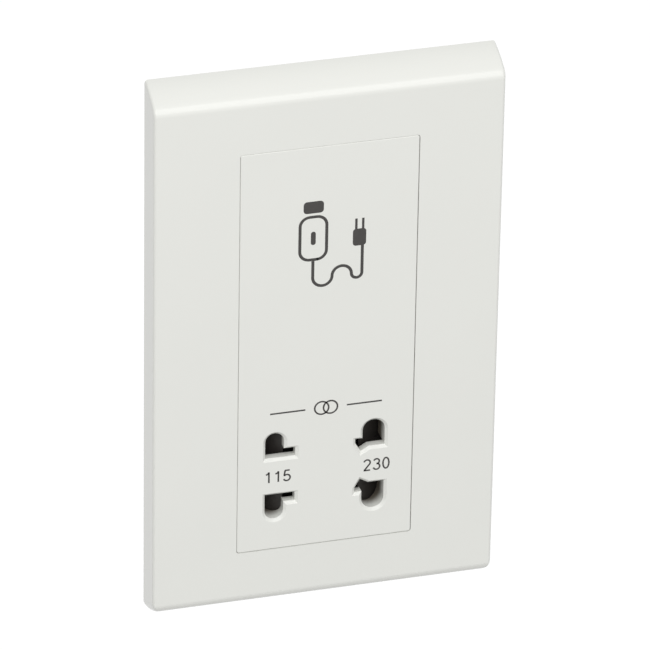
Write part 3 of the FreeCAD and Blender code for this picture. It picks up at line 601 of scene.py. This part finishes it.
def rounded_outline(x0, x1, z0, z1, radius):
    """Closed rectangle with round corners."""
    corners = ((x1 - radius, z0 + radius, -90), (x1 - radius, z1 - radius, 0),
               (x0 + radius, z1 - radius, 90), (x0 + radius, z0 + radius, 180))
    points = []
    for x, z, start in corners:
        points += arc(x, z, radius, start, start + 90, CORNER_STEPS)
    return points


def ring(x, z, radius):
    """Closed line round a circle."""
    return arc(x, z, radius, 0, 360, 2 * ARC_STEPS)


def oval(x, z, half_x, half_z):
    """Closed line round an oval."""
    return [(x + half_x * px, z + half_z * pz) for px, pz in ring(0, 0, 1)]


# Centre lines of the digits, in units of their height from the lower left corner
DIGIT_LINES = {
    "0": [oval(0.28, 0.5, 0.25, 0.5)],
    "1": [[(0.37, 0.0), (0.37, 1.0)], [(0.38, 1.0), (0.29, 0.86), (0.12, 0.77)]],
    "2": [arc(0.28, 0.73, 0.26, 165, -38) + [(0.04, 0.0)], [(0.0, 0.0), (0.55, 0.0)]],
    "3": [arc(0.28, 0.755, 0.235, 160, -90), arc(0.28, 0.275, 0.275, 90, -162)],
    "5": [[(0.52, 1.0), (0.11, 1.0)], [(0.13, 1.0), (0.065, 0.48)], arc(0.28, 0.31, 0.285, 140, -155)],
}


def printed_number(text, x):
    """Plain number beside an outlet, centred on a place."""
    unit = NUMBER_TALL - NUMBER_STROKE
    left = x - (DIGIT_PITCH * (len(text) - 1) + DIGIT_WIDE) * unit / 2
    base = NUMBER_LEVEL - unit / 2
    for place, digit in enumerate(text):
        start = left + DIGIT_PITCH * unit * place
        for index, line in enumerate(DIGIT_LINES[digit]):
            points = [(start + px * unit, base + pz * unit) for px, pz in line]
            stroke(f"number_{text}_{place}_{index}", points, NUMBER_STROKE)


def isolation_sign():
    """Two linked rings between two fine lines."""
    for side in (-1, 1):
        centre = side * (SIGN_RING - SIGN_OVERLAP / 2)
        stroke(f"sign_ring_{side + 1}", ring(centre, SIGN_LEVEL, SIGN_RING), FINE_STROKE)
        line = [(side * SIGN_LINE_IN, SIGN_LEVEL), (side * SIGN_LINE_OUT, SIGN_LEVEL)]
        stroke(f"sign_line_{side + 1}", line, FINE_STROKE)


def shaver_sign():
    """Plain outline of an electric shaver with its cord and a two-pin plug."""
    outline = rounded_outline(*SHAVER_CASE)
    stroke("shaver_case", outline + outline[:2], STROKE)
    filled("shaver_head", rounded_outline(*SHAVER_HEAD))
    filled("shaver_switch", rounded_outline(*SHAVER_SWITCH))
    cord = [CORD_START, (CORD_START[0], CORD_LEVEL)]
    for x, radius, last_angle, steps in CORD_BENDS:
        cord += arc(x, CORD_LEVEL, radius, 180, last_angle, steps)
    stroke("shaver_cord", cord + [CORD_END], STROKE)
    filled("plug_case", rounded_outline(*PLUG_CASE))
    for side in (-1, 1):
        x = PIN_MIDDLE + side * PIN_ASIDE
        stroke(f"plug_pin_{side + 1}", [(x, PIN_FOOT), (x, PIN_TIP)], PIN_STROKE)


for number_text, number_x in NUMBER_PLACES:
    printed_number(number_text, number_x)
isolation_sign()
shaver_sign()


# Stage
def seen_rays(nodes, links):
    """1 for rays from the camera, a mirror or clear glass, 0 for the rest."""
    path = nodes.new("ShaderNodeLightPath")
    total = path.outputs["Is Camera Ray"]
    for name in ("Is Glossy Ray", "Is Transmission Ray"):
        total = maths(nodes, links, "MAXIMUM", total, path.outputs[name])
    return total


def floor_material():
    """Pale floor that looks white, with the object's soft shadow on it."""
    material = bpy.data.materials.new("floor_pale")
    material.use_nodes = True
    nodes = material.node_tree.nodes
    links = material.node_tree.links
    nodes.clear()
    bounce = nodes.new("ShaderNodeBsdfDiffuse")
    bounce.inputs["Color"].default_value = (FLOOR_PALE, FLOOR_PALE, FLOOR_PALE, 1)
    seen = nodes.new("ShaderNodeBsdfDiffuse")
    seen.inputs["Color"].default_value = (FLOOR_SEEN, FLOOR_SEEN, FLOOR_SEEN, 1)
    glow = nodes.new("ShaderNodeEmission")
    glow.inputs["Strength"].default_value = FLOOR_GLOW
    both = nodes.new("ShaderNodeAddShader")
    links.new(seen.outputs["BSDF"], both.inputs[0])
    links.new(glow.outputs["Emission"], both.inputs[1])
    choice = nodes.new("ShaderNodeMixShader")
    links.new(seen_rays(nodes, links), choice.inputs["Fac"])
    links.new(bounce.outputs["BSDF"], choice.inputs[1])
    links.new(both.outputs["Shader"], choice.inputs[2])
    output = nodes.new("ShaderNodeOutputMaterial")
    links.new(choice.outputs["Shader"], output.inputs["Surface"])
    return material


def make_floor():
    """Square floor some way below the object."""
    half = FLOOR_SIZE / 2
    level = cad_low.z - FLOOR_DROP
    corners = [(-half, -half, level), (half, -half, level), (half, half, level), (-half, half, level)]
    mesh = bpy.data.meshes.new("floor")
    mesh.from_pydata(corners, [], [(0, 1, 2, 3)])
    floor = placed("floor", mesh)
    mesh.materials.append(floor_material())


def make_world():
    """Even soft light all round, white where it is seen."""
    world = bpy.data.worlds.new("studio")
    bpy.context.scene.world = world
    world.use_nodes = True
    nodes = world.node_tree.nodes
    links = world.node_tree.links
    background = nodes["Background"]
    background.inputs["Color"].default_value = (1, 1, 1, 1)
    level = nodes.new("ShaderNodeMapRange")
    level.inputs["To Min"].default_value = AMBIENT
    level.inputs["To Max"].default_value = 1.0
    links.new(seen_rays(nodes, links), level.inputs["Value"])
    links.new(level.outputs["Result"], background.inputs["Strength"])


def direction(azimuth, elevation):
    """Unit vector from the object, with azimuth to the right of straight ahead of the face."""
    a = math.radians(azimuth)
    e = math.radians(elevation)
    return Vector((math.sin(a) * math.cos(e), -math.cos(a) * math.cos(e), math.sin(e)))


def make_light():
    """Rectangular soft box that faces the object."""
    light = bpy.data.lights.new("key", "AREA")
    light.shape = "RECTANGLE"
    light.size = KEY_WIDTH
    light.size_y = KEY_HEIGHT
    light.energy = KEY_RADIANCE * math.pi * KEY_WIDTH * KEY_HEIGHT
    lamp = placed("key", light)
    away = direction(KEY_AZIMUTH, KEY_ELEVATION)
    lamp.location = away * KEY_DISTANCE
    lamp.rotation_euler = away.to_track_quat("Z", "Y").to_euler()
    lamp.visible_camera = False


def make_camera():
    """Camera at the photograph's viewing angle."""
    data = bpy.data.cameras.new("camera")
    data.sensor_width = SENSOR_MM
    data.lens = FOCAL_PIXELS / IMAGE_PIXELS * SENSOR_MM
    camera = placed("camera", data)
    back = direction(-CAMERA_AZIMUTH, CAMERA_ELEVATION)
    azimuth = math.radians(CAMERA_AZIMUTH)
    level = Vector((math.cos(azimuth), -math.sin(azimuth), 0))
    turn = Matrix.Rotation(math.radians(CAMERA_ROLL), 3, back)
    right = turn @ level
    up = turn @ back.cross(level)
    place = Vector(CAMERA_TARGET) + back * CAMERA_DISTANCE
    camera.matrix_world = Matrix((
        (right.x, up.x, back.x, place.x),
        (right.y, up.y, back.y, place.y),
        (right.z, up.z, back.z, place.z),
        (0, 0, 0, 1),
    ))
    bpy.context.scene.camera = camera


make_floor()
make_world()
make_light()
make_camera()
bpy.context.scene.view_settings.view_transform = "Standard"
